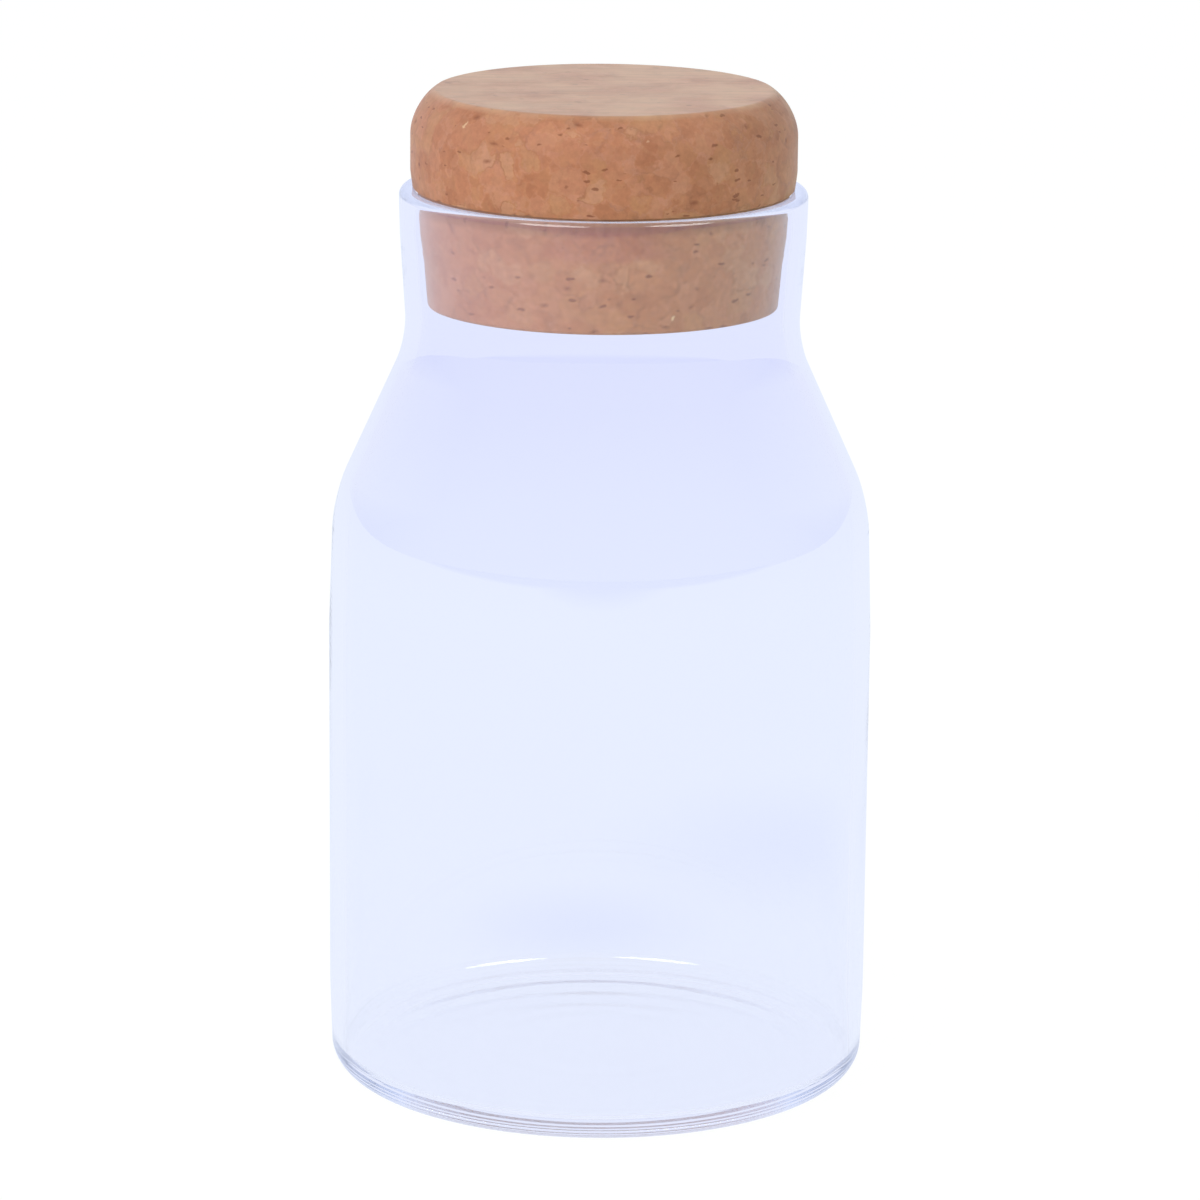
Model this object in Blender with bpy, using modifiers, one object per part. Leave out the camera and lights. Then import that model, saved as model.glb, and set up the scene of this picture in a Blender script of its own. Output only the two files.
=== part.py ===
"""Clear glass storage jar with a turned cork stopper.

The object comes apart into two pieces: a one-piece glass vessel and an agglomerated
cork that lifts straight up out of its neck. Both are turned forms about the Z axis.
Lengths are in metres, +Z is up, and the origin is the centre of the jar's foot.
"""
from math import acos, atan2, ceil, cos, pi, radians, sin, tan

import bpy
from mathutils import Vector

# Facets: how many make a full turn, and how far an arc's facet may stand off its arc
TURN_STEPS = 64
ARC_SAG = 0.00003
CROWN_STEPS = 4
MERGE_DISTANCE = 0.00001

# Glass vessel, outer form: radii, and lengths stacked from the foot up to the rim
BODY_RADIUS = 0.0500
BODY_LENGTH = 0.0850
CLOSING_LENGTH = 0.0234
CLOSING_DRAW = 0.0008
SHOULDER_LENGTH = 0.0297
NECK_RADIUS = 0.0357
NECK_LENGTH = 0.0193
NECK_FLARE = 0.00125
LIP_BEAD = 0.0002
LIP_BEAD_RISE = 0.0065
LIP_HEIGHT = 0.0086

# Lowest part of the body's side, which draws in slightly to the heel
HEEL_DRAW = 0.0005
HEEL_RISE = 0.0160

# Fillets of the outer form; the slight one is for sides that bend only a little
HEEL_FILLET = 0.0050
SLIGHT_FILLET = 0.0600
SHOULDER_FILLET = 0.0280
NECK_FILLET = 0.0190
LIP_FILLET = 0.0080
RIM_OUTER_FILLET = 0.0013

# Walls, and the hollow's own fillets
BODY_WALL = 0.0028
NECK_WALL = 0.0030
LIP_WALL = 0.0028
FLOOR_THICKNESS = 0.0040
FLOOR_CROWN = 0.0005
FLOOR_FILLET = 0.0020
RIM_INNER_FILLET = 0.0006

# Underside: a narrow ring that the jar stands on, and a gentle slope up to a shallow push-up
FOOT_WIDTH = 0.0030
FOOT_SLOPE = 0.0060
FOOT_FILLET = 0.0200
PUSH_UP_EDGE = 0.00035
PUSH_UP_RISE = 0.0006

# Cork stopper: a rounded head over a tapered plug
HEAD_OVERHANG = 0.00095
HEAD_HEIGHT = 0.0177
HEAD_ROUNDING = 0.0095
HEAD_ROUNDING_TURN = radians(58)
HEAD_EDGE_DRAW = 0.0004
HEAD_EDGE_RISE = 0.0030
HEAD_EDGE_FILLET = 0.0075
HEAD_SEAT_FILLET = 0.0002
PLUG_LENGTH = 0.0210
PLUG_TIP_FILLET = 0.0008

# Clearances between the cork and the glass
SEAT_GAP = 0.0003
PLUG_GAP = 0.0003
PLUG_TIP_GAP = 0.0012

# Heights of the outer form's corners above the foot
CLOSING_Z = BODY_LENGTH
SHOULDER_Z = CLOSING_Z + CLOSING_LENGTH
NECK_Z = SHOULDER_Z + SHOULDER_LENGTH
LIP_Z = NECK_Z + NECK_LENGTH
RIM_Z = LIP_Z + LIP_HEIGHT

# Radii that follow from the outer form
HEEL_RADIUS = BODY_RADIUS - HEEL_DRAW
SHOULDER_RADIUS = BODY_RADIUS - CLOSING_DRAW
LIP_ROOT_RADIUS = NECK_RADIUS + NECK_FLARE
LIP_RADIUS = LIP_ROOT_RADIUS + LIP_BEAD


def remove_scene_objects():
    for thing in list(bpy.data.objects):
        bpy.data.objects.remove(thing)


def arc(centre, radius, start, turn):
    """Points of an arc, counterclockwise for a positive turn, in the radius-height plane."""
    widest = 2 * acos(max(0, 1 - ARC_SAG / radius))
    steps = ceil(abs(turn) / widest)
    angles = [start + turn * step / steps for step in range(steps + 1)]
    return [Vector((centre.x + radius * cos(a), centre.y + radius * sin(a))) for a in angles]


def turn_at(before, corner, after):
    """Signed change of direction at a corner, and the unit directions into and out of it."""
    arriving = (corner - before).normalized()
    leaving = (after - corner).normalized()
    across = arriving.x * leaving.y - arriving.y * leaving.x
    return atan2(across, arriving.dot(leaving)), arriving, leaving


def rounded(corners):
    """Outline through corners given as (radius, height, fillet), each fillet a true arc.

    Two fillets that would meet on a short side are reduced together until they fit.
    """
    spots = [Vector((radius, height)) for radius, height, _ in corners]
    inner = range(1, len(corners) - 1)
    turns = {i: turn_at(*spots[i - 1:i + 2]) for i in inner}
    reach = [0] * len(corners)
    for i in inner:
        reach[i] = corners[i][2] * tan(abs(turns[i][0]) / 2)
    fit = [1] * len(corners)
    for i in range(len(corners) - 1):
        wanted = reach[i] + reach[i + 1]
        room = (spots[i + 1] - spots[i]).length
        if wanted > room:
            fit[i] = min(fit[i], room / wanted)
            fit[i + 1] = min(fit[i + 1], room / wanted)
    outline = [spots[0]]
    for i in inner:
        turn, arriving, leaving = turns[i]
        length = reach[i] * fit[i]
        if length < MERGE_DISTANCE:
            outline.append(spots[i])
            continue
        side = 1 if turn > 0 else -1
        radius = length / tan(abs(turn) / 2)
        start = spots[i] - arriving * length
        centre = start + Vector((-arriving.y, arriving.x)) * radius * side
        spoke = start - centre
        outline += arc(centre, radius, atan2(spoke.y, spoke.x), turn)
    outline.append(spots[-1])
    return outline


def crowned(radius, edge_height, rise):
    """Shallow crown, highest on the axis, that falls to the edge height at the radius."""
    places = [radius * step / CROWN_STEPS for step in range(CROWN_STEPS)]
    return [Vector((r, edge_height + rise * (1 - (r / radius) ** 2))) for r in places]


def inside(before, corner, after, wall):
    """Corner of the hollow: both sides of the outer corner, moved inwards by the wall.

    The outer corners run from the foot up, so the glass lies to the left of each side.
    """
    turn, arriving, leaving = turn_at(before, corner, after)
    normal = Vector((-arriving.y - leaving.y, arriving.x + leaving.x)).normalized()
    return corner + normal * wall / cos(turn / 2)


def vessel_corners():
    """Corners of the vessel's outer form, from the heel up to the rim."""
    return [
        Vector((BODY_RADIUS, 0)),
        Vector((BODY_RADIUS, CLOSING_Z)),
        Vector((SHOULDER_RADIUS, SHOULDER_Z)),
        Vector((NECK_RADIUS, NECK_Z)),
        Vector((LIP_ROOT_RADIUS, LIP_Z)),
        Vector((LIP_ROOT_RADIUS, RIM_Z)),
    ]


def hollow_corners():
    """Corners of the hollow, from where the side meets the floor up to the rim."""
    outer = vessel_corners()
    walls = (BODY_WALL, BODY_WALL, NECK_WALL, LIP_WALL)
    corners = [inside(*outer[i:i + 3], wall) for i, wall in enumerate(walls)]
    floor_corner = Vector((BODY_RADIUS - BODY_WALL, FLOOR_THICKNESS))
    rim_corner = Vector((corners[-1].x, RIM_Z))
    return [floor_corner, *corners, rim_corner]


def bore_radius(height):
    """Radius of the neck's bore between its narrowest place and the rim."""
    _, _, _, narrow, lip_root, _ = hollow_corners()
    if height >= lip_root.y:
        return lip_root.x
    share = (height - narrow.y) / (lip_root.y - narrow.y)
    return narrow.x + (lip_root.x - narrow.x) * max(0, share)


def vessel_outline():
    """Vessel section: the hollow from its floor up to the rim, then down outside to the foot."""
    floor, closing, shoulder, narrow, lip_root, rim = hollow_corners()
    foot_inner = HEEL_RADIUS - HEEL_FILLET - FOOT_WIDTH
    push_up = foot_inner - FOOT_SLOPE
    inner_floor = crowned(floor.x, FLOOR_THICKNESS, FLOOR_CROWN)
    underside = crowned(push_up, PUSH_UP_EDGE, PUSH_UP_RISE)
    hollow = [
        (*inner_floor[-1], 0),
        (*floor, FLOOR_FILLET),
        (*closing, SLIGHT_FILLET - BODY_WALL),
        (*shoulder, SHOULDER_FILLET - BODY_WALL),
        (*narrow, NECK_FILLET + NECK_WALL),
        (*lip_root, SLIGHT_FILLET),
        (*rim, RIM_INNER_FILLET),
    ]
    outside = [
        (LIP_RADIUS, RIM_Z, RIM_OUTER_FILLET),
        (LIP_RADIUS, LIP_Z + LIP_BEAD_RISE, LIP_FILLET),
        (LIP_ROOT_RADIUS, LIP_Z, LIP_FILLET),
        (NECK_RADIUS, NECK_Z, NECK_FILLET),
        (SHOULDER_RADIUS, SHOULDER_Z, SHOULDER_FILLET),
        (BODY_RADIUS, CLOSING_Z, SLIGHT_FILLET),
        (BODY_RADIUS, HEEL_RISE, SLIGHT_FILLET),
        (HEEL_RADIUS, 0, HEEL_FILLET),
        (foot_inner, 0, FOOT_FILLET),
        (push_up, PUSH_UP_EDGE, FOOT_FILLET),
        (*underside[-1], 0),
    ]
    return inner_floor[:-1] + rounded(hollow + outside) + underside[-2::-1]


def stopper_outline():
    """Stopper section, from the top's centre down outside to the plug's tip.

    Heights are counted from the rim that the head sits on.
    """
    bore = bore_radius(RIM_Z)
    head_radius = bore + HEAD_OVERHANG
    head_top = SEAT_GAP + HEAD_HEIGHT
    plug_tip = SEAT_GAP - PLUG_LENGTH
    plug_radius = bore - PLUG_GAP
    tip_radius = bore_radius(RIM_Z + plug_tip) - PLUG_TIP_GAP
    arc_centre = Vector((head_radius - HEAD_ROUNDING, head_top - HEAD_ROUNDING * sin(HEAD_ROUNDING_TURN)))
    rounding = arc(arc_centre, HEAD_ROUNDING, HEAD_ROUNDING_TURN, -HEAD_ROUNDING_TURN)
    side = [
        (*rounding[-1], 0),
        (head_radius, SEAT_GAP + HEAD_EDGE_RISE, HEAD_EDGE_FILLET),
        (head_radius - HEAD_EDGE_DRAW, SEAT_GAP, HEAD_SEAT_FILLET),
        (plug_radius, SEAT_GAP, 0),
        (tip_radius, plug_tip, PLUG_TIP_FILLET),
        (0, plug_tip, 0),
    ]
    return [Vector((0, head_top))] + rounding[:-1] + rounded(side)


def principled(name, colour, roughness, transmission=0):
    material = bpy.data.materials.new(name)
    material.use_nodes = True
    shader = material.node_tree.nodes["Principled BSDF"]
    shader.inputs["Base Color"].default_value = (*colour, 1)
    shader.inputs["Roughness"].default_value = roughness
    shader.inputs["Metallic"].default_value = 0
    shader.inputs["Transmission Weight"].default_value = transmission
    material.diffuse_color = (*colour, 1)
    return material


def turned(name, outline, material, collection, height=0):
    """Solid of revolution about its own Z axis from a section that starts and ends on the axis."""
    mesh = bpy.data.meshes.new(name)
    points = [(point.x, 0, point.y) for point in outline]
    mesh.from_pydata(points, [(i, i + 1) for i in range(len(points) - 1)], [])
    mesh.materials.append(material)
    piece = bpy.data.objects.new(name, mesh)
    collection.objects.link(piece)
    piece.location.z = height
    screw = piece.modifiers.new("Turned about the axis", 'SCREW')
    screw.axis = 'Z'
    screw.angle = 2 * pi
    screw.steps = TURN_STEPS
    screw.render_steps = TURN_STEPS
    screw.use_merge_vertices = True
    screw.merge_threshold = MERGE_DISTANCE
    screw.use_smooth_shade = True
    return piece


def build():
    remove_scene_objects()
    collection = bpy.data.collections.new("glass_jar_with_cork_stopper")
    bpy.context.scene.collection.children.link(collection)
    glass = principled("clear_glass", (0.89, 0.92, 1.0), 0.02, transmission=1)
    cork = principled("agglomerated_cork", (0.52, 0.25, 0.14), 0.8)
    turned("jar_body", vessel_outline(), glass, collection)
    turned("cork_stopper", stopper_outline(), cork, collection, height=RIM_Z)


build()
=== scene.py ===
"""Looks of a clear glass storage jar with a turned cork stopper, on a plain white stage."""
import random
from math import ceil, cos, log, pi, radians, sin, tan

import bmesh
import bpy
from mathutils import Matrix, Vector, kdtree


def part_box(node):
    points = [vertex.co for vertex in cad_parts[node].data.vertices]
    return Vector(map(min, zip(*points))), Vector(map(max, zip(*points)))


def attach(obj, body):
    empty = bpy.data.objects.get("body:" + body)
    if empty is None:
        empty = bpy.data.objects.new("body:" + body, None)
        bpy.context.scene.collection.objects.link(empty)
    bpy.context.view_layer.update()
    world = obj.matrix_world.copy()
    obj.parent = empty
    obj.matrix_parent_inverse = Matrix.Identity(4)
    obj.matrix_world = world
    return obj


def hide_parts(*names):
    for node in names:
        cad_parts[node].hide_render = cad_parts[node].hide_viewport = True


bl_info = {
    "name": "Glass Jar with Cork Stopper",
    "version": (1, 0, 0),
    "blender": (4, 5, 0),
    "location": "3D View > Sidebar > Glass Jar",
    "description": "Builds a clear glass storage jar, its agglomerated cork stopper and a white stage",
    "category": "Add Mesh",
}

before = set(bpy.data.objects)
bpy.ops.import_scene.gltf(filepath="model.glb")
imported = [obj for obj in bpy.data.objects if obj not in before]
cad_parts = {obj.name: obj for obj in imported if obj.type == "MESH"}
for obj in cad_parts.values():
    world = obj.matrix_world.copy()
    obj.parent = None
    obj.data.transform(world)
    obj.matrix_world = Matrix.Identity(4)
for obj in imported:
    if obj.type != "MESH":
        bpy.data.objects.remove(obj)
VESSEL_LOW, VESSEL_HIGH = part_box("jar_body")
STOPPER_LOW, STOPPER_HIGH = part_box("cork_stopper")

MM = 0.001
SAME_PLACE = 0.000001


def linear(hex_code):
    """Linear colour of an sRGB hex value such as #C8A078."""
    shares = [int(hex_code[i:i + 2], 16) / 255 for i in (1, 3, 5)]
    return tuple(s / 12.92 if s <= 0.04045 else ((s + 0.055) / 1.055) ** 2.4 for s in shares)


def length(name, description, default):
    """Length property in metres."""
    return bpy.props.FloatProperty(
        name=name, description=description, default=default, min=0, precision=4,
        subtype='DISTANCE', unit='LENGTH')


def colour(name, description, hex_code):
    """Colour property with an sRGB hex default."""
    return bpy.props.FloatVectorProperty(
        name=name, description=description, default=linear(hex_code), min=0, max=1,
        size=3, subtype='COLOR')


def share(name, description, default):
    """Property from 0 to 1."""
    return bpy.props.FloatProperty(
        name=name, description=description, default=default, min=0, max=1, subtype='FACTOR')


class GlassVesselSettings(bpy.types.PropertyGroup):
    """Section of the glass vessel and the tint of its glass"""
    body_radius: length("Body radius", "Outer radius of the straight body", VESSEL_HIGH.x)
    rim_height: length("Rim height", "Height of the rim above the foot", VESSEL_HIGH.z)
    body_length: length("Body length", "Foot to where the side starts to close in", 0.0850)
    closing_length: length("Closing length", "Slight taper below the shoulder", 0.0234)
    closing_draw: length("Closing draw", "Radius lost along that taper", 0.0008)
    shoulder_length: length("Shoulder length", "Shoulder corner to the neck's waist", 0.0297)
    neck_radius: length("Neck radius", "Outer radius at the neck's waist", 0.0357)
    neck_length: length("Neck length", "Waist to the foot of the lip", 0.0193)
    neck_flare: length("Neck flare", "Radius gained from the waist to the lip", 0.00125)
    lip_bead: length("Lip bead", "How far the lip stands proud of the neck", 0.0002)
    lip_bead_rise: length("Lip bead rise", "Height over which the lip swells out", 0.0065)
    heel_draw: length("Heel draw", "Radius lost towards the heel", 0.0005)
    heel_rise: length("Heel rise", "Height from which the side draws in to the heel", 0.0160)
    body_wall: length("Body wall", "Glass thickness of the body", 0.0028)
    neck_wall: length("Neck wall", "Glass thickness at the neck's waist", 0.0030)
    lip_wall: length("Lip wall", "Glass thickness under the lip", 0.0028)
    floor_thickness: length("Floor thickness", "Glass under the hollow's floor", 0.0040)
    floor_crown: length("Floor crown", "Rise of the hollow's floor at its centre", 0.0005)
    heel_fillet: length("Heel fillet", "Rounding of the outer heel", 0.0050)
    floor_fillet: length("Floor fillet", "Rounding between the hollow's floor and side", 0.0020)
    shoulder_fillet: length("Shoulder fillet", "Rounding of the shoulder", 0.0280)
    neck_fillet: length("Neck fillet", "Hollow rounding at the neck's waist", 0.0190)
    slight_fillet: length("Slight fillet", "Rounding where a side bends only a little", 0.0600)
    lip_fillet: length("Lip fillet", "Roundings of the lip's swelling", 0.0080)
    rim_outer_fillet: length("Rim outer fillet", "Fire-polished outer edge of the rim", 0.0013)
    rim_inner_fillet: length("Rim inner fillet", "Fire-polished inner edge of the rim", 0.0006)
    foot_width: length("Foot width", "Width of the ring that the jar stands on", 0.0030)
    foot_slope: length("Foot slope", "Width of the slope inside that ring", 0.0060)
    foot_fillet: length("Foot fillet", "Roundings of that slope", 0.0200)
    push_up_edge: length("Push-up edge", "Height of the push-up at its edge", 0.00035)
    push_up_rise: length("Push-up rise", "Further rise of the push-up to its centre", 0.0006)
    tint: colour("Skin tint", "Colour that white light takes on at the two skins of a wall", "#FDFEFF")
    shoulder_tint: colour("Shoulder tint", "The same in the shoulder and the neck", "#F9F9FF")
    deep_tint: colour("Deep tint", "Colour that white light takes on through 100 mm of glass", "#FCFDFF")
    lamp_share: share("Lamp share", "Light of the lamps that each skin lets through", 0.96)


class CorkStopperSettings(bpy.types.PropertyGroup):
    """Section of the cork stopper and the colours of its granules"""
    head_radius: length("Head radius", "Radius of the head", STOPPER_HIGH.x)
    top_height: length("Top height", "Height of the head's top above the foot", STOPPER_HIGH.z)
    tip_height: length("Tip height", "Height of the plug's tip above the foot", STOPPER_LOW.z)
    seat_height: length("Seat height", "Height of the head's underside", VESSEL_HIGH.z + 0.0003)
    head_rounding: length("Head rounding", "Radius of the head's large rounding", 0.0095)
    head_rounding_turn: bpy.props.FloatProperty(
        name="Head rounding turn", description="Arc of that rounding before the flat top cuts it",
        default=radians(58), min=0, max=pi / 2, subtype='ANGLE', unit='ROTATION')
    head_edge_draw: length("Head edge draw", "Radius lost at the head's lower edge", 0.0004)
    head_edge_rise: length("Head edge rise", "Height of the head's lower edge", 0.0030)
    head_edge_fillet: length("Head edge fillet", "Rounding of the head's lower edge", 0.0075)
    seat_fillet: length("Seat fillet", "Rounding between lower edge and underside", 0.0002)
    plug_radius: length("Plug radius", "Radius of the plug under the head", 0.03385)
    plug_tip_radius: length("Plug tip radius", "Radius of the plug at its tip", 0.0320)
    plug_tip_fillet: length("Plug tip fillet", "Rounding of the plug's tip", 0.0008)
    granule: length("Granule", "Usual width of a pressed cork granule", 0.0042)
    grain_dark: colour("Dark granule", "Darkest of the granules", "#AF6E47")
    grain_warm: colour("Warm granule", "Usual orange-brown granule", "#C6855E")
    grain_pink: colour("Pink granule", "Pinkish granule", "#D1977A")
    grain_ochre: colour("Ochre granule", "Yellowish granule", "#C4905F")
    grain_pale: colour("Pale granule", "Palest of the granules", "#D6A784")
    bark: colour("Bark fleck", "Dark flecks of bark and pores", "#80411F")
    cream: colour("Cream fleck", "Pale flecks", "#F0CFA4")
    # A tint multiplied into the head's colour alone, not into the plug's.
    head_tone: colour("Handled", "Tint that hands have left on the head", "#F0E8EA")
    # Painted light: this pale pink is mixed into the plug's left side for the pinkish light that falls from
    # the left.
    painted_pink_light: colour("Bloom", "Pale bloom on one side of the plug", "#D3A2AE")
    # Partly painted sheen: this pale colour stands for sanding dust and for the sheen of the flat top seen at
    # a grazing angle.
    sanded_sheen: colour("Sanded top", "Fine dust left in the sanded flat top", "#D3A886")
    pit_count: bpy.props.IntProperty(
        name="Pits", description="Number of open pores in the surface", default=100, min=0)


class StageSettings(bpy.types.PropertyGroup):
    """Camera and light of the white stage"""
    camera_distance: length("Camera distance", "How far in front of the axis the camera stands", 1.0034)
    camera_height: length("Camera height", "Height of the camera above the floor", 0.3408)
    camera_pitch: bpy.props.FloatProperty(
        name="Camera pitch", description="How far the camera looks down",
        default=radians(14.095), subtype='ANGLE', unit='ROTATION')
    camera_roll: bpy.props.FloatProperty(
        name="Camera roll", description="Turn of the camera about its own view",
        default=radians(0.522), subtype='ANGLE', unit='ROTATION')
    focal_length: bpy.props.FloatProperty(
        name="Focal length", description="Lens of the camera in millimetres",
        default=167.94, min=1, subtype='DISTANCE_CAMERA')
    floor_size: length("Floor size", "Width of the floor", 8.0)
    floor_gap: length("Floor gap", "Floor below the foot", 0.0002)
    through_glass: colour("Sweep through glass", "The white sweep as seen through glass", "#E9EDFF")
    room: colour("Room", "The dim room in front of and above the jar", "#2C54F2")
    mirrored: colour("Mirrored sweep", "The white sweep as polished surfaces mirror it", "#E7EDFF")
    key_light: colour("Key light", "Soft light from the left and the front", "#FFFFFF")
    fill_light: colour("Fill light", "Soft light from the right and behind", "#BEE0C6")


def section(corners):
    """Mesh of one section: corners as (radius, height, fillet), each fillet a bevelled vertex."""
    bm = bmesh.new()
    spots = [Vector((radius, 0, height)) for radius, height, _ in corners]
    verts = [bm.verts.new(spot) for spot in spots]
    for first, second in zip(verts, verts[1:]):
        bm.edges.new((first, second))
    for i in range(1, len(corners) - 1):
        fillet = corners[i][2]
        if not fillet:
            continue
        turn = (spots[i] - spots[i - 1]).angle(spots[i + 1] - spots[i])
        reach = fillet * tan(turn / 2)
        steps = max(3, ceil(turn / ARC_STEP))
        bmesh.ops.bevel(
            bm, geom=[verts[i]], offset=reach, offset_type='OFFSET', segments=steps,
            profile=0.5, affect='VERTICES', clamp_overlap=False, material=-1)
    return bm


ARC_STEP = radians(4)


def spun(bm, quarter_steps):
    """Turns the section through a quarter, mirrors that twice and closes it, facing outwards."""
    bmesh.ops.spin(
        bm, geom=bm.verts[:] + bm.edges[:], cent=(0, 0, 0), axis=(0, 0, 1), dvec=(0, 0, 0),
        angle=pi / 2, steps=quarter_steps, use_merge=False, use_duplicate=False)
    for axis in 'XY':
        bmesh.ops.mirror(
            bm, geom=bm.verts[:] + bm.edges[:] + bm.faces[:], matrix=Matrix.Identity(4),
            merge_dist=SAME_PLACE, axis=axis, mirror_u=False, mirror_v=False)
    bmesh.ops.remove_doubles(bm, verts=bm.verts[:], dist=SAME_PLACE)
    bmesh.ops.recalc_face_normals(bm, faces=bm.faces[:])


def piece_from(bm, name, material):
    """Smooth mesh object of a finished bmesh, standing at the origin."""
    for face in bm.faces:
        face.smooth = True
    mesh = bpy.data.meshes.new(name)
    bm.to_mesh(mesh)
    bm.free()
    mesh.materials.append(material)
    piece = bpy.data.objects.new(name, mesh)
    bpy.context.scene.collection.objects.link(piece)
    return piece


def node(tree, kind, inputs=(), **settings):
    """Adds one node, with its settings and with each input set to a value or linked to a socket."""
    made = tree.nodes.new(kind)
    for name, value in settings.items():
        if name == "stops":
            ramp = made.color_ramp
            while len(ramp.elements) < len(value):
                ramp.elements.new(1)
            for element, (place, tone) in zip(ramp.elements, value):
                element.position = place
                element.color = (*tone, 1)
        else:
            setattr(made, name, value)
    for name, value in dict(inputs).items():
        if isinstance(value, bpy.types.NodeSocket):
            tree.links.new(value, made.inputs[name])
        else:
            made.inputs[name].default_value = value
    return made


def empty_material(name):
    """New material with a bare node tree and its output node."""
    material = bpy.data.materials.new(name)
    material.use_nodes = True
    material.node_tree.nodes.clear()
    return material, material.node_tree, material.node_tree.nodes.new("ShaderNodeOutputMaterial")


def fire_polished_glass(settings):
    """Clear blown borosilicate glass, with the skin that the flame leaves."""
    # To the eye: no grain, sharp reflections with a faint roll in them, and a cool tint where it is thick.
    material, tree, output = empty_material("fire_polished_glass")
    place = node(tree, "ShaderNodeTexCoord").outputs["Object"]
    roll = node(tree, "ShaderNodeTexNoise", {
        "Vector": place, "Scale": 1 / (28 * MM), "Detail": 1.0, "Roughness": 0.4})
    cooled = node(tree, "ShaderNodeBump", {
        "Strength": 0.12, "Distance": 0.4 * MM, "Height": roll.outputs["Fac"]})
    cloud = node(tree, "ShaderNodeTexNoise", {
        "Vector": place, "Scale": 1 / (34 * MM), "Detail": 2.0, "Roughness": 0.5})
    height = node(tree, "ShaderNodeSeparateXYZ", {"Vector": place}).outputs["Z"]
    shoulder = settings.body_length + settings.closing_length
    climb = node(tree, "ShaderNodeMapRange", {
        "Value": height, "From Min": shoulder - TINT_BELOW, "From Max": shoulder + TINT_ABOVE})
    drift = node(tree, "ShaderNodeMath", {
        0: cloud.outputs["Fac"], 1: CLOUD_SHARE, 2: climb.outputs["Result"]}, operation='MULTIPLY_ADD')
    tint = node(tree, "ShaderNodeMix", {
        "Factor": drift.outputs["Value"], "A": (*settings.tint, 1), "B": (*settings.shoulder_tint, 1)},
        data_type='RGBA')
    glass = node(tree, "ShaderNodeBsdfPrincipled", {
        "Base Color": tint.outputs["Result"], "Roughness": 0.0, "IOR": 1.5,
        "Transmission Weight": 1.0, "Normal": cooled.outputs["Normal"]})
    passed = node(tree, "ShaderNodeBsdfTransparent", {
        "Color": (settings.lamp_share, settings.lamp_share, settings.lamp_share, 1)})
    ray = node(tree, "ShaderNodeLightPath").outputs
    soft = node(tree, "ShaderNodeMixShader", {
        "Fac": ray["Is Diffuse Ray"], 1: glass.outputs["BSDF"], 2: passed.outputs["BSDF"]})
    both = node(tree, "ShaderNodeMixShader", {
        "Fac": ray["Is Shadow Ray"], 1: soft.outputs["Shader"], 2: passed.outputs["BSDF"]})
    tree.links.new(both.outputs["Shader"], output.inputs["Surface"])
    per_metre = [-log(c) / TINT_DEPTH for c in settings.deep_tint]
    density = max(per_metre)
    depth = node(tree, "ShaderNodeVolumeAbsorption", {
        "Color": (*(1 - share / density for share in per_metre), 1), "Density": density})
    tree.links.new(depth.outputs["Volume"], output.inputs["Volume"])
    return material


TINT_DEPTH = 100 * MM
TINT_BELOW = 12 * MM
TINT_ABOVE = 28 * MM
CLOUD_SHARE = 0.2


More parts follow.
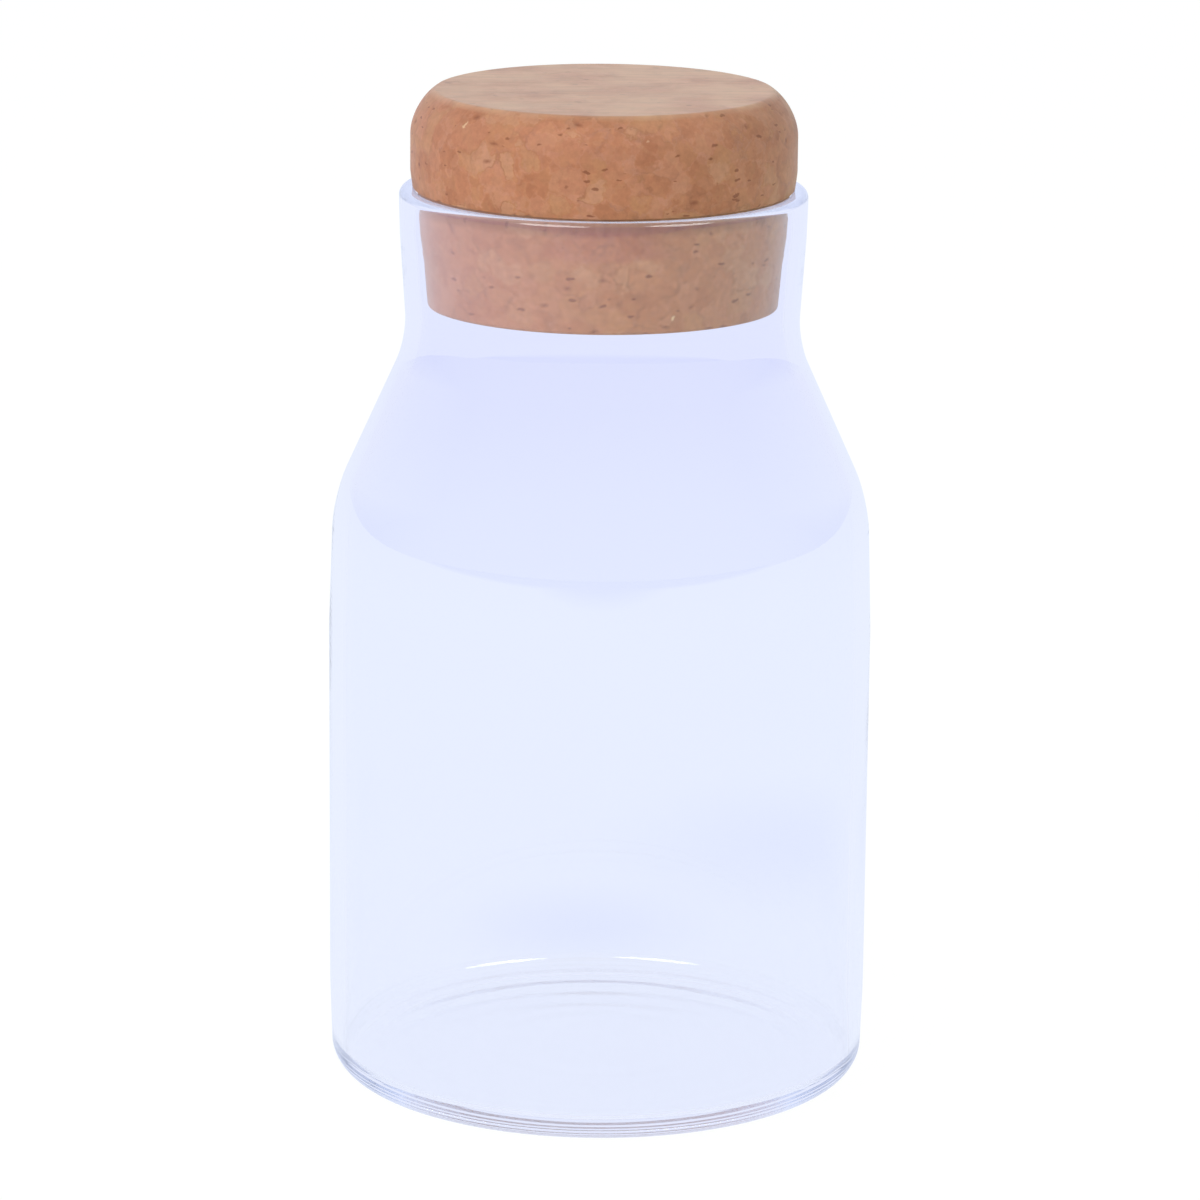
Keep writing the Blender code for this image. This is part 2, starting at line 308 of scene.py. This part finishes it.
def agglomerated_cork(settings):
    """Cork granules pressed into a block, turned and sanded."""
    # To the eye: dull, warm and mottled, with dark flecks of bark, a few pale chips and a flat top pale with
    # dust and painted sheen.
    material, tree, output = empty_material("agglomerated_cork")
    place = node(tree, "ShaderNodeTexCoord").outputs["Object"]
    grain = 1 / settings.granule
    wander = node(tree, "ShaderNodeTexNoise", {
        "Vector": place, "Scale": grain * 1.5, "Detail": 3.0, "Roughness": 0.6})
    centred = node(tree, "ShaderNodeVectorMath", {
        0: wander.outputs["Color"], 1: (0.5, 0.5, 0.5)}, operation='SUBTRACT')
    shift = node(tree, "ShaderNodeVectorMath", {
        0: centred.outputs["Vector"], "Scale": settings.granule * 1.1}, operation='SCALE')
    bent = node(tree, "ShaderNodeVectorMath", {
        0: place, 1: shift.outputs["Vector"]}, operation='ADD').outputs["Vector"]
    large = node(tree, "ShaderNodeTexVoronoi", {
        "Vector": bent, "Scale": grain, "Smoothness": 0.35}, feature='SMOOTH_F1')
    small = node(tree, "ShaderNodeTexVoronoi", {
        "Vector": bent, "Scale": grain * 2.3, "Smoothness": 0.4}, feature='SMOOTH_F1')
    large_pick = node(tree, "ShaderNodeSeparateColor", {"Color": large.outputs["Color"]})
    small_pick = node(tree, "ShaderNodeSeparateColor", {"Color": small.outputs["Color"]})
    tones = node(tree, "ShaderNodeValToRGB", {"Fac": large_pick.outputs["Red"]}, stops=(
        (0.12, settings.grain_dark), (0.32, settings.grain_warm), (0.48, settings.grain_pink),
        (0.62, settings.grain_warm), (0.76, settings.grain_ochre), (0.9, settings.grain_pale)))
    crumbs = node(tree, "ShaderNodeValToRGB", {"Fac": small_pick.outputs["Green"]}, stops=(
        (0.15, settings.grain_dark), (0.4, settings.grain_warm), (0.65, settings.grain_ochre),
        (0.9, settings.grain_pink)))
    grains = node(tree, "ShaderNodeMix", {
        "Factor": 0.4, "A": tones.outputs["Color"], "B": crumbs.outputs["Color"]}, data_type='RGBA')
    spot = node(tree, "ShaderNodeSeparateXYZ", {"Vector": place}).outputs
    on_head = node(tree, "ShaderNodeMapRange", {
        "Value": spot["Z"], "From Min": settings.seat_height - 0.2 * MM, "From Max": settings.seat_height})
    calm = node(tree, "ShaderNodeMapRange", {
        "Value": on_head.outputs["Result"], "To Min": 0.6, "To Max": 0.42})
    even = node(tree, "ShaderNodeMix", {
        "Factor": calm.outputs["Result"], "A": grains.outputs["Result"], "B": (*settings.grain_warm, 1)},
        data_type='RGBA')
    fine = node(tree, "ShaderNodeTexNoise", {
        "Vector": place, "Scale": 1 / (1.1 * MM), "Detail": 4.0, "Roughness": 0.6})
    mottle = node(tree, "ShaderNodeMapRange", {
        "Value": fine.outputs["Fac"], "From Min": 0.3, "From Max": 0.7, "To Min": 0.9, "To Max": 1.08})
    edges = node(tree, "ShaderNodeTexVoronoi", {
        "Vector": bent, "Scale": grain}, feature='DISTANCE_TO_EDGE')
    seam = node(tree, "ShaderNodeMapRange", {
        "Value": edges.outputs["Distance"], "From Min": 0.0, "From Max": 0.12,
        "To Min": 1.0, "To Max": 0.0})
    patch = node(tree, "ShaderNodeTexNoise", {
        "Vector": place, "Scale": 1 / (5 * MM), "Detail": 1.0, "Roughness": 0.5})
    patches = node(tree, "ShaderNodeMapRange", {
        "Value": patch.outputs["Fac"], "From Min": 0.48, "From Max": 0.62,
        "To Min": 0.0, "To Max": 0.16})
    seams = node(tree, "ShaderNodeMath", {
        0: seam.outputs["Result"], 1: patches.outputs["Result"]}, operation='MULTIPLY')
    dimmed = node(tree, "ShaderNodeMath", {
        0: mottle.outputs["Result"], 1: seams.outputs["Value"]}, operation='SUBTRACT')
    body = node(tree, "ShaderNodeVectorMath", {
        0: even.outputs["Result"], "Scale": dimmed.outputs["Value"]}, operation='SCALE')
    nudge = node(tree, "ShaderNodeVectorMath", {
        0: centred.outputs["Vector"], "Scale": settings.granule * 0.4}, operation='SCALE')
    nudged = node(tree, "ShaderNodeVectorMath", {
        0: place, 1: nudge.outputs["Vector"]}, operation='ADD')
    flat = node(tree, "ShaderNodeMapping", {"Vector": nudged.outputs["Vector"], "Scale": (1, 1, 2.6)})
    flecks = node(tree, "ShaderNodeTexVoronoi", {
        "Vector": flat.outputs["Vector"], "Scale": 1 / (2.9 * MM)}, feature='F1')
    fleck_pick = node(tree, "ShaderNodeSeparateColor", {"Color": flecks.outputs["Color"]})
    fleck_size = node(tree, "ShaderNodeMapRange", {
        "Value": fleck_pick.outputs["Green"], "From Min": 0.6, "From Max": 1.0,
        "To Min": 0.0, "To Max": 0.3})
    inside_fleck = node(tree, "ShaderNodeMath", {
        0: fleck_size.outputs["Result"], 1: flecks.outputs["Distance"]}, operation='SUBTRACT')
    fleck = node(tree, "ShaderNodeMapRange", {
        "Value": inside_fleck.outputs["Value"], "From Min": -0.02, "From Max": 0.06,
        "To Min": 0.0, "To Max": 0.66})
    pit = node(tree, "ShaderNodeAttribute", attribute_name=PIT).outputs["Fac"]
    pore = node(tree, "ShaderNodeMath", {0: pit, 1: 0.68}, operation='MULTIPLY')
    bark_share = node(tree, "ShaderNodeMath", {
        0: fleck.outputs["Result"], 1: pore.outputs["Value"]}, operation='MAXIMUM')
    chips = node(tree, "ShaderNodeTexVoronoi", {
        "Vector": bent, "Scale": 1 / (5.5 * MM)}, feature='F1')
    chip_pick = node(tree, "ShaderNodeSeparateColor", {"Color": chips.outputs["Color"]})
    chip_size = node(tree, "ShaderNodeMapRange", {
        "Value": chip_pick.outputs["Blue"], "From Min": 0.7, "From Max": 1.0,
        "To Min": 0.0, "To Max": 0.13})
    inside_chip = node(tree, "ShaderNodeMath", {
        0: chip_size.outputs["Result"], 1: chips.outputs["Distance"]}, operation='SUBTRACT')
    chip = node(tree, "ShaderNodeMapRange", {
        "Value": inside_chip.outputs["Value"], "From Min": -0.02, "From Max": 0.04,
        "To Min": 0.0, "To Max": 0.7})
    chipped = node(tree, "ShaderNodeMix", {
        "Factor": chip.outputs["Result"], "A": body.outputs["Vector"], "B": (*settings.cream, 1)},
        data_type='RGBA')
    flecked = node(tree, "ShaderNodeMix", {
        "Factor": bark_share.outputs["Value"], "A": chipped.outputs["Result"], "B": (*settings.bark, 1)},
        data_type='RGBA')
    # Painted light: towards its left the plug is mixed with that pink, paler and pinker where the light from
    # the left falls.
    pink_light_share = node(tree, "ShaderNodeMapRange", {
        "Value": spot["X"], "From Min": -settings.plug_radius, "From Max": 4 * MM,
        "To Min": 0.34, "To Max": 0.0})
    pink_lit = node(tree, "ShaderNodeMix", {
        "Factor": pink_light_share.outputs["Result"], "A": flecked.outputs["Result"], "B": (*settings.painted_pink_light, 1)},
        data_type='RGBA')
    # The head's colour times that tint, and darker by up to a tenth from 9 mm to 2 mm below the top.
    head_tinted = node(tree, "ShaderNodeVectorMath", {
        0: flecked.outputs["Result"], 1: settings.head_tone}, operation='MULTIPLY')
    brow = node(tree, "ShaderNodeMapRange", {
        "Value": spot["Z"], "From Min": settings.top_height - 9 * MM,
        "From Max": settings.top_height - 2 * MM, "To Min": 1.0, "To Max": 0.9})
    head_tone = node(tree, "ShaderNodeVectorMath", {
        0: head_tinted.outputs["Vector"], "Scale": brow.outputs["Result"]}, operation='SCALE')
    # Painted shade: the plug is darkened just under the head and the rim, where shade falls in the gap.
    painted_rim_shade = node(tree, "ShaderNodeMapRange", {
        "Value": spot["Z"], "From Min": settings.seat_height - 3.6 * MM,
        "From Max": settings.seat_height - 1.6 * MM, "To Min": 1.0, "To Max": 0.65})
    plug = node(tree, "ShaderNodeVectorMath", {
        0: pink_lit.outputs["Result"], "Scale": painted_rim_shade.outputs["Result"]}, operation='SCALE')
    plug_and_head = node(tree, "ShaderNodeMix", {
        "Factor": on_head.outputs["Result"], "A": plug.outputs["Vector"], "B": head_tone.outputs["Vector"]},
        data_type='RGBA')
    on_top = node(tree, "ShaderNodeMapRange", {
        "Value": spot["Z"], "From Min": settings.top_height - 0.9 * MM, "From Max": settings.top_height})
    # The flat top is mixed towards that pale colour in patches: partly dust, partly painted sheen.
    drift = node(tree, "ShaderNodeTexNoise", {
        "Vector": place, "Scale": 1 / (13 * MM), "Detail": 2.0, "Roughness": 0.55})
    dust_and_sheen_patches = node(tree, "ShaderNodeMapRange", {
        "Value": drift.outputs["Fac"], "From Min": 0.4, "From Max": 0.6, "To Min": 0.22, "To Max": 0.6})
    dust_and_sheen = node(tree, "ShaderNodeMath", {
        0: on_top.outputs["Result"], 1: dust_and_sheen_patches.outputs["Result"]}, operation='MULTIPLY')
    dusted_sheened = node(tree, "ShaderNodeMix", {
        "Factor": dust_and_sheen.outputs["Value"], "A": plug_and_head.outputs["Result"], "B": (*settings.sanded_sheen, 1)},
        data_type='RGBA')
    drawn_out = node(tree, "ShaderNodeMapping", {"Vector": place, "Scale": (0.08, 1, 1)})
    sanding = node(tree, "ShaderNodeTexNoise", {
        "Vector": drawn_out.outputs["Vector"], "Scale": 1 / (2 * MM), "Detail": 3.0, "Roughness": 0.6})
    streak = node(tree, "ShaderNodeMapRange", {
        "Value": sanding.outputs["Fac"], "From Min": 0.36, "From Max": 0.6, "To Min": 0.93, "To Max": 1.06})
    streaks = node(tree, "ShaderNodeMix", {
        "Factor": on_top.outputs["Result"], "A": 1.0, "B": streak.outputs["Result"]}, data_type='FLOAT')
    sanded_sheen = node(tree, "ShaderNodeVectorMath", {
        0: dusted_sheened.outputs["Result"], "Scale": streaks.outputs["Result"]}, operation='SCALE')
    gloss = node(tree, "ShaderNodeMapRange", {
        "Value": on_top.outputs["Result"], "To Min": 0.55, "To Max": 0.42})
    rough = node(tree, "ShaderNodeBump", {
        "Strength": 0.35, "Distance": 0.12 * MM, "Height": fine.outputs["Fac"]})
    cork = node(tree, "ShaderNodeBsdfPrincipled", {
        "Base Color": sanded_sheen.outputs["Vector"], "Roughness": gloss.outputs["Result"], "IOR": 1.45,
        "Sheen Weight": 0.1, "Sheen Roughness": 0.5, "Normal": rough.outputs["Normal"]})
    tree.links.new(cork.outputs["BSDF"], output.inputs["Surface"])
    return material


PIT = "pit"


class JAR_OT_glass_vessel(bpy.types.Operator):
    """Turn the glass vessel from its section"""
    bl_idname = "jar.glass_vessel"
    bl_label = "Glass Vessel"
    bl_options = {'REGISTER', 'UNDO'}

    def execute(self, context):
        settings = context.scene.jar_vessel
        bm = section(vessel_corners(settings))
        spun(bm, VESSEL_QUARTER_STEPS)
        vessel = piece_from(bm, "glass_vessel", fire_polished_glass(settings))
        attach(vessel, "jar")
        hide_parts("jar_body")
        return {'FINISHED'}


VESSEL_QUARTER_STEPS = 64


def inside(before, corner, after, wall):
    """Corner of the hollow: both sides of the outer corner, moved inwards by the wall."""
    arriving = (corner - before).normalized()
    leaving = (after - corner).normalized()
    turn = arriving.angle(leaving)
    normal = Vector((-arriving.y - leaving.y, arriving.x + leaving.x)).normalized()
    return corner + normal * wall / cos(turn / 2)


def vessel_corners(s):
    """Closed section of the vessel: hollow floor up to the rim, then down outside to the foot."""
    shoulder_z = s.body_length + s.closing_length
    neck_z = shoulder_z + s.shoulder_length
    lip_z = neck_z + s.neck_length
    lip_root = s.neck_radius + s.neck_flare
    outer = [Vector(place) for place in (
        (s.body_radius, 0), (s.body_radius, s.body_length),
        (s.body_radius - s.closing_draw, shoulder_z), (s.neck_radius, neck_z),
        (lip_root, lip_z), (lip_root, s.rim_height))]
    walls = (s.body_wall, s.body_wall, s.neck_wall, s.lip_wall)
    closing, shoulder, waist, root = [
        inside(*outer[i:i + 3], wall) for i, wall in enumerate(walls)]
    floor = s.floor_thickness
    crown = floor + s.floor_crown
    bore = s.body_radius - s.body_wall
    heel = s.body_radius - s.heel_draw
    foot = heel - s.heel_fillet - s.foot_width
    push_up = foot - s.foot_slope
    summit = s.push_up_edge + s.push_up_rise
    dome_share = 0.5
    dome_fillet = s.body_radius * 6
    lip_radius = lip_root + s.lip_bead
    return [
        (0, crown, 0),
        (bore * dome_share, crown, dome_fillet),
        (bore, floor, s.floor_fillet),
        (*closing, s.slight_fillet - s.body_wall),
        (*shoulder, s.shoulder_fillet - s.body_wall),
        (*waist, s.neck_fillet + s.neck_wall),
        (*root, s.slight_fillet),
        (root.x, s.rim_height, s.rim_inner_fillet),
        (lip_radius, s.rim_height, s.rim_outer_fillet),
        (lip_radius, lip_z + s.lip_bead_rise, s.lip_fillet),
        (lip_root, lip_z, s.lip_fillet),
        (s.neck_radius, neck_z, s.neck_fillet),
        (s.body_radius - s.closing_draw, shoulder_z, s.shoulder_fillet),
        (s.body_radius, s.body_length, s.slight_fillet),
        (s.body_radius, s.heel_rise, s.slight_fillet),
        (heel, 0, s.heel_fillet),
        (foot, 0, s.foot_fillet),
        (push_up, s.push_up_edge, s.foot_fillet),
        (push_up * dome_share, summit, dome_fillet),
        (0, summit, 0),
    ]


def stopper_corners(s):
    """Section of the stopper, from the top's centre down outside to the plug's tip."""
    left_over = pi / 2 - s.head_rounding_turn
    reach = s.head_rounding * tan(s.head_rounding_turn / 2)
    flat_radius = s.head_radius - reach * cos(left_over)
    corner_z = s.top_height - reach * sin(left_over)
    return [
        (0, s.top_height, 0),
        (flat_radius, s.top_height, 0),
        (s.head_radius, corner_z, s.head_rounding),
        (s.head_radius, s.seat_height + s.head_edge_rise, s.head_edge_fillet),
        (s.head_radius - s.head_edge_draw, s.seat_height, s.seat_fillet),
        (s.plug_radius, s.seat_height, 0),
        (s.plug_tip_radius, s.tip_height, s.plug_tip_fillet),
        (0, s.tip_height, 0),
    ]


CORK_QUARTER_STEPS = 100
CORK_SPACING = 0.55 * MM
PIT_SEED = 11
PIT_LEVEL = 0.8
PIT_LEAN = 0.35
PIT_WIDTHS = (0.35, 0.6)
PIT_STRETCHES = (1, 2.2)
PIT_DEPTHS = (0.08, 0.2)


def pitted(bm, count):
    """Sinks open pores into the skin, not into the flat top, and marks how deep each vertex lies in one."""
    layer = bm.verts.layers.float.new(PIT)
    bm.normal_update()
    tree = kdtree.KDTree(len(bm.verts))
    for i, vert in enumerate(bm.verts):
        tree.insert(vert.co, i)
    tree.balance()
    bm.verts.ensure_lookup_table()
    chance = random.Random(PIT_SEED)
    starts = [(vert.co.copy(), vert.normal.copy()) for vert in bm.verts]
    for _ in range(count):
        centre, normal = starts[chance.randrange(len(starts))]
        if normal.z > PIT_LEVEL:
            continue
        along = normal.cross(Vector((0.01, 0, 1))).normalized()
        along.rotate(Matrix.Rotation(chance.gauss(0, PIT_LEAN), 3, normal))
        width = chance.uniform(*PIT_WIDTHS) * MM
        extent = width * chance.uniform(*PIT_STRETCHES)
        depth = chance.uniform(*PIT_DEPTHS) * MM
        for _, i, _ in tree.find_range(centre, extent):
            place, outwards = starts[i]
            offset = place - centre
            down = offset.dot(along) / extent
            across = (offset - along * offset.dot(along)).length / width
            share_in = 1 - min(1, down * down + across * across)
            if share_in > bm.verts[i][layer]:
                bm.verts[i][layer] = share_in
                bm.verts[i].co = place - outwards * depth * share_in


class JAR_OT_cork_stopper(bpy.types.Operator):
    """Turn the cork stopper from its section and open its pores"""
    bl_idname = "jar.cork_stopper"
    bl_label = "Cork Stopper"
    bl_options = {'REGISTER', 'UNDO'}

    def execute(self, context):
        settings = context.scene.jar_stopper
        bm = section(stopper_corners(settings))
        for edge in bm.edges[:]:
            cuts = ceil(edge.calc_length() / CORK_SPACING) - 1
            if cuts > 0:
                bmesh.ops.subdivide_edges(bm, edges=[edge], cuts=cuts)
        spun(bm, CORK_QUARTER_STEPS)
        pitted(bm, settings.pit_count)
        cork = piece_from(bm, "turned_cork", agglomerated_cork(settings))
        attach(cork, "stopper")
        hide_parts("cork_stopper")
        return {'FINISHED'}


def sweep_colour(tree, ray, settings, away, shade):
    """White to the eye, tinted through glass and in reflections, and dim where the room takes over."""
    # Seen through glass, the room shows only in light mirrored once inside a wall, not straight through.
    once_inside = node(tree, "ShaderNodeMath", {
        0: ray["Ray Depth"], 1: MIRRORED_INSIDE, 2: 0.5}, operation='COMPARE')
    hidden = node(tree, "ShaderNodeMath", {
        0: away, 1: once_inside.outputs["Value"], 2: shade}, operation='MULTIPLY_ADD')
    through = node(tree, "ShaderNodeMix", {
        "Factor": hidden.outputs["Value"], "A": (*settings.through_glass, 1), "B": (*settings.room, 1)},
        data_type='RGBA')
    mirrored = node(tree, "ShaderNodeMix", {
        "Factor": away, "A": (*settings.mirrored, 1), "B": (*settings.room, 1)}, data_type='RGBA')
    direct = node(tree, "ShaderNodeMix", {
        "Factor": ray["Is Transmission Ray"], "A": (1, 1, 1, 1), "B": through.outputs["Result"]},
        data_type='RGBA')
    return node(tree, "ShaderNodeMix", {
        "Factor": ray["Is Reflection Ray"], "A": direct.outputs["Result"], "B": mirrored.outputs["Result"]},
        data_type='RGBA').outputs["Result"]


MIRRORED_INSIDE = 3


def white_floor(settings):
    """Seamless sweep of matt white paper."""
    # To the eye: plain white with a faint shadow of the jar. The soft shadows are seen through glass alone.
    material, tree, output = empty_material("white_sweep")
    ray = node(tree, "ShaderNodeLightPath").outputs
    lighting = node(tree, "ShaderNodeMath", {0: ray["Diffuse Depth"], 1: 0.5}, operation='GREATER_THAN')
    matt = node(tree, "ShaderNodeBsdfDiffuse", {"Color": (*PAPER_GREY, 1)})
    faint = node(tree, "ShaderNodeBsdfDiffuse", {"Color": (*SHADOW_GREY, 1)})
    place = node(tree, "ShaderNodeTexCoord").outputs["Object"]
    depth = node(tree, "ShaderNodeSeparateXYZ", {"Vector": place}).outputs["Y"]
    away = node(tree, "ShaderNodeMapRange", {
        "Value": depth, "From Min": SWEEP_FRONT, "From Max": SWEEP_FRONT - SWEEP_FADE})
    shade = 0.0
    for middle, reach, darkness in SOFT_SHADOWS:
        gap = node(tree, "ShaderNodeVectorMath", {0: place, 1: middle}, operation='DISTANCE')
        shadow = node(tree, "ShaderNodeMapRange", {
            "Value": gap.outputs["Value"], "From Min": 0.0, "From Max": reach,
            "To Min": darkness, "To Max": 0.0}, interpolation_type='SMOOTHSTEP')
        shade = node(tree, "ShaderNodeMath", {
            0: shadow.outputs["Result"], 1: shade}, operation='ADD').outputs["Value"]
    shown = sweep_colour(tree, ray, settings, away.outputs["Result"], shade)
    glow = node(tree, "ShaderNodeEmission", {"Color": shown, "Strength": SWEEP_GLOW})
    seen = node(tree, "ShaderNodeAddShader", {0: faint.outputs["BSDF"], 1: glow.outputs["Emission"]})
    both = node(tree, "ShaderNodeMixShader", {
        "Fac": lighting.outputs["Value"], 1: seen.outputs["Shader"], 2: matt.outputs["BSDF"]})
    tree.links.new(both.outputs["Shader"], output.inputs["Surface"])
    material.cycles.emission_sampling = 'NONE'
    return material


def studio_world(settings):
    """White sweep low down and behind, and a dimmer room with two soft panels in front."""
    world = bpy.data.worlds.new("white_studio")
    bpy.context.scene.world = world
    world.use_nodes = True
    tree = world.node_tree
    tree.nodes.clear()
    ray = node(tree, "ShaderNodeLightPath").outputs
    way = node(tree, "ShaderNodeTexCoord").outputs["Generated"]
    forwards = node(tree, "ShaderNodeVectorMath", {0: way, 1: ROOM_WAY}, operation='DOT_PRODUCT')
    away = node(tree, "ShaderNodeMapRange", {
        "Value": forwards.outputs["Value"], "From Min": ROOM_START, "From Max": ROOM_END})
    seen = sweep_colour(tree, ray, settings, away.outputs["Result"], 0.0)
    early = node(tree, "ShaderNodeMath", {
        0: ray["Ray Depth"], 1: PANEL_DEPTH}, operation='LESS_THAN').outputs["Value"]
    strength = node(tree, "ShaderNodeMath", {0: early, 1: PANEL_LIGHT}, operation='MULTIPLY')
    for panel_way in PANEL_WAYS:
        towards = node(tree, "ShaderNodeVectorMath", {0: way, 1: panel_way}, operation='DOT_PRODUCT')
        panel = node(tree, "ShaderNodeMapRange", {
            "Value": towards.outputs["Value"], "From Min": PANEL_EDGE, "From Max": PANEL_CORE,
            "To Min": 0.0, "To Max": strength.outputs["Value"]})
        seen = node(tree, "ShaderNodeVectorMath", {
            0: seen, 1: panel.outputs["Result"]}, operation='ADD').outputs["Vector"]
    side = node(tree, "ShaderNodeVectorMath", {0: way, 1: KEY_WAY}, operation='DOT_PRODUCT')
    soft = node(tree, "ShaderNodeMapRange", {
        "Value": side.outputs["Value"], "From Min": -1.0, "From Max": 1.0})
    fill = node(tree, "ShaderNodeMix", {
        "Factor": soft.outputs["Result"], "A": (*settings.fill_light, 1), "B": (*settings.key_light, 1)},
        data_type='RGBA')
    straight = node(tree, "ShaderNodeMath", {0: ray["Diffuse Depth"], 1: 0.5}, operation='LESS_THAN')
    bright = node(tree, "ShaderNodeMath", {0: ray["Is Camera Ray"], 1: ray["Is Glossy Ray"]}, operation='ADD')
    clear = node(tree, "ShaderNodeMath", {
        0: bright.outputs["Value"], 1: ray["Is Transmission Ray"]}, operation='MAXIMUM')
    sight = node(tree, "ShaderNodeMath", {
        0: clear.outputs["Value"], 1: straight.outputs["Value"]}, operation='MULTIPLY')
    light = node(tree, "ShaderNodeMix", {
        "Factor": sight.outputs["Value"], "A": fill.outputs["Result"], "B": seen},
        data_type='RGBA')
    glow = node(tree, "ShaderNodeBackground", {"Color": light.outputs["Result"], "Strength": 1.0})
    output = node(tree, "ShaderNodeOutputWorld")
    tree.links.new(glow.outputs["Background"], output.inputs["Surface"])


PAPER_GREY = (0.8, 0.8, 0.8)
SHADOW_GREY = (0.12, 0.12, 0.12)
SWEEP_GLOW = 0.9
SWEEP_FRONT = -0.71
SWEEP_FADE = 0.12
SOFT_SHADOWS = (((-0.004, 0.085, 0), 0.036, 0.08), ((0.055, 0.14, 0), 0.065, 0.08))
ROOM_WAY = (0, -0.6, -0.8)
ROOM_START = -0.50
ROOM_END = -0.22
KEY_WAY = (-0.75, -0.6, 0.28)
PANEL_WAYS = ((-0.38, -0.49, 0.79), (0.53, -0.31, 0.79))
PANEL_DEPTH = 6.5
PANEL_EDGE = cos(radians(17))
PANEL_CORE = cos(radians(13))
PANEL_LIGHT = 8.0


def area_lamp(name, place, aim, size, power, tone):
    """Soft square lamp that points at a place."""
    data = bpy.data.lights.new(name, 'AREA')
    data.shape = 'SQUARE'
    data.size = size
    data.energy = power
    data.color = tone
    lamp = bpy.data.objects.new(name, data)
    lamp.location = place
    lamp.rotation_euler = (Vector(aim) - Vector(place)).to_track_quat('-Z', 'Y').to_euler()
    bpy.context.scene.collection.objects.link(lamp)
    return lamp


LAMP_PLACE = (-1.1, -1.0, 0.9)
LAMP_AIM = (0, 0, 0.1)
LAMP_SIZE = 0.9
LAMP_POWER = 8.0
SENSOR_WIDTH = 36
NEAREST_SEEN = 0.05
LIGHT_BOUNCES = 256


class JAR_OT_stage(bpy.types.Operator):
    """Set up the white floor, the room, the lamp and the camera"""
    bl_idname = "jar.stage"
    bl_label = "White Stage"
    bl_options = {'REGISTER', 'UNDO'}

    def execute(self, context):
        settings = context.scene.jar_stage
        bm = bmesh.new()
        bmesh.ops.create_grid(bm, x_segments=1, y_segments=1, size=settings.floor_size / 2)
        bmesh.ops.translate(bm, vec=(0, 0, -settings.floor_gap), verts=bm.verts[:])
        floor = piece_from(bm, "white_floor", white_floor(settings))
        studio_world(settings)
        key = area_lamp("key_lamp", LAMP_PLACE, LAMP_AIM, LAMP_SIZE, LAMP_POWER, settings.key_light)
        key.visible_glossy = key.visible_transmission = False
        data = bpy.data.cameras.new("camera")
        data.lens = settings.focal_length
        data.sensor_width = SENSOR_WIDTH
        data.clip_start = NEAREST_SEEN
        camera = bpy.data.objects.new("camera", data)
        camera.location = (0, -settings.camera_distance, settings.camera_height)
        tilt = Matrix.Rotation(pi / 2 - settings.camera_pitch, 3, 'X')
        camera.rotation_euler = (tilt @ Matrix.Rotation(settings.camera_roll, 3, 'Z')).to_euler()
        context.scene.collection.objects.link(camera)
        context.scene.camera = camera
        context.scene.view_settings.view_transform = 'Standard'
        paths = context.scene.cycles
        # Light runs round inside the heel and the rim many times, and fewer bounces would leave them dark.
        paths.max_bounces = paths.transmission_bounces = paths.glossy_bounces = LIGHT_BOUNCES
        return {'FINISHED'}


class JAR_PT_panel(bpy.types.Panel):
    """Sizes, colours and build steps of the jar"""
    bl_label = "Glass Jar"
    bl_idname = "JAR_PT_panel"
    bl_space_type = 'VIEW_3D'
    bl_region_type = 'UI'
    bl_category = "Glass Jar"

    def draw(self, context):
        for title, group, operator in STEPS:
            box = self.layout.box()
            box.label(text=title)
            settings = getattr(context.scene, group)
            for name in settings.__annotations__:
                box.prop(settings, name)
            box.operator(operator.bl_idname)


STEPS = (
    ("Glass vessel", "jar_vessel", JAR_OT_glass_vessel),
    ("Cork stopper", "jar_stopper", JAR_OT_cork_stopper),
    ("White stage", "jar_stage", JAR_OT_stage),
)
GROUPS = {
    "jar_vessel": GlassVesselSettings,
    "jar_stopper": CorkStopperSettings,
    "jar_stage": StageSettings,
}
CLASSES = (*GROUPS.values(), *(operator for _, _, operator in STEPS), JAR_PT_panel)


def register():
    for cls in CLASSES:
        bpy.utils.register_class(cls)
    for name, group in GROUPS.items():
        setattr(bpy.types.Scene, name, bpy.props.PointerProperty(type=group))


def unregister():
    for name in GROUPS:
        delattr(bpy.types.Scene, name)
    for cls in reversed(CLASSES):
        bpy.utils.unregister_class(cls)


def main():
    register()
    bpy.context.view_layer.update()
    bpy.ops.jar.stage()
    bpy.ops.jar.glass_vessel()
    bpy.ops.jar.cork_stopper()


if __name__ == "__main__":
    main()
